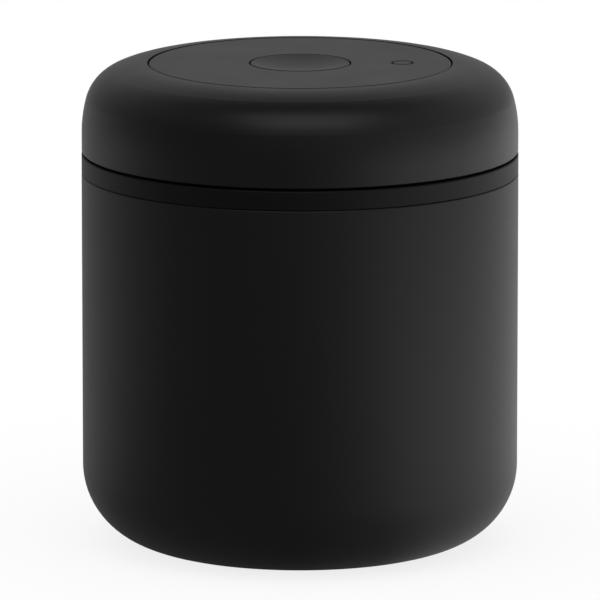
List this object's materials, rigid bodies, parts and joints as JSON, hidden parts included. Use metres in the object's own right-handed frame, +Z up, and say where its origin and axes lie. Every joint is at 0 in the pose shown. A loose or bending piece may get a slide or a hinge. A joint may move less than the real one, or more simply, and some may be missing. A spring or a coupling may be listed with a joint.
{
  "type": "vacuum coffee canister",
  "caption": "Round matte-black coffee canister with a rounded twist-to-pump vacuum lid, a dished release button and a small vacuum marker.",
  "frame": {"origin": "centre of the canister's base, on the surface that it stands on", "axes": "+Z up along the canister's axis, +X from the button towards the vacuum marker, -Y towards the viewer"},
  "size_m": [0.114, 0.114, 0.1268],
  "materials": {
    "coated_steel": "matte black powder coat outside, brushed stainless steel inside",
    "soft_touch_plastic": "moulded ABS with a fine matte texture",
    "button_plastic": "moulded ABS, matte",
    "marker_plastic": "moulded ABS, satin",
    "band_plastic": "moulded polypropylene, satin black",
    "works_plastic": "moulded grey ABS",
    "acetal": "moulded white acetal",
    "silicone": "moulded dark silicone",
    "steel_mesh": "woven stainless mesh",
    "screw_steel": "zinc-plated steel",
    "pin_steel": "ground stainless steel",
    "spring_steel": "drawn stainless wire"
  },
  "bodies": {
    "canister": {"canister_shell": "coated_steel"},
    "lid_base": {"lid_tray": "band_plastic", "mouth_gasket": "silicone", "pump_cylinder": "works_plastic", "guide_hub": "works_plastic", "hub_screws": "screw_steel", "slip_ring": "acetal", "lid_carrier": "works_plastic", "carrier_screws": "screw_steel", "top_disc": "soft_touch_plastic", "inlet_valve": "silicone", "filter_mesh": "steel_mesh", "filter_cap": "band_plastic", "button_spring": "spring_steel", "indicator_spring": "spring_steel"},
    "cap": {"cap_shell": "soft_touch_plastic", "drive_drum": "acetal", "drum_screws": "screw_steel"},
    "piston": {"piston_head": "acetal", "piston_seal": "silicone", "bore_seal": "silicone", "outlet_valve": "silicone", "drive_spider": "acetal", "spider_screws": "screw_steel", "cam_pins": "pin_steel"},
    "button": {"release_button": "button_plastic", "valve_stem": "acetal", "release_seal": "silicone"},
    "indicator": {"indicator_rod": "marker_plastic", "indicator_cup": "silicone"}
  },
  "joints": [
    {"name": "lid_lift", "type": "slide", "parent": "canister", "child": "lid_base", "axis": [0, 0, 1], "range_m": [0, 0.1]},
    {"name": "cap_twist", "type": "hinge", "parent": "lid_base", "child": "cap", "pos_m": [0, 0, 0.11], "axis": [0, 0, 1], "range_deg": [0, 90]},
    {"name": "piston_slide", "type": "slide", "parent": "lid_base", "child": "piston", "axis": [0, 0, 1], "range_m": [0, 0.012]},
    {"name": "button_press", "type": "slide", "parent": "lid_base", "child": "button", "axis": [0, 0, -1], "range_m": [0, 0.0025], "stiffness_N_per_m": 250, "springref_m": -0.0006, "deforming": ["button_spring"]},
    {"name": "marker_sink", "type": "slide", "parent": "lid_base", "child": "indicator", "axis": [0, 0, -1], "range_m": [0, 0.0018], "stiffness_N_per_m": 100, "springref_m": -0.0003, "deforming": ["indicator_spring"]}
  ],
  "couplings": [
    {"joint": "piston_slide", "follows": "cap_twist", "m_per_rad": 0.0076394}
  ]
}
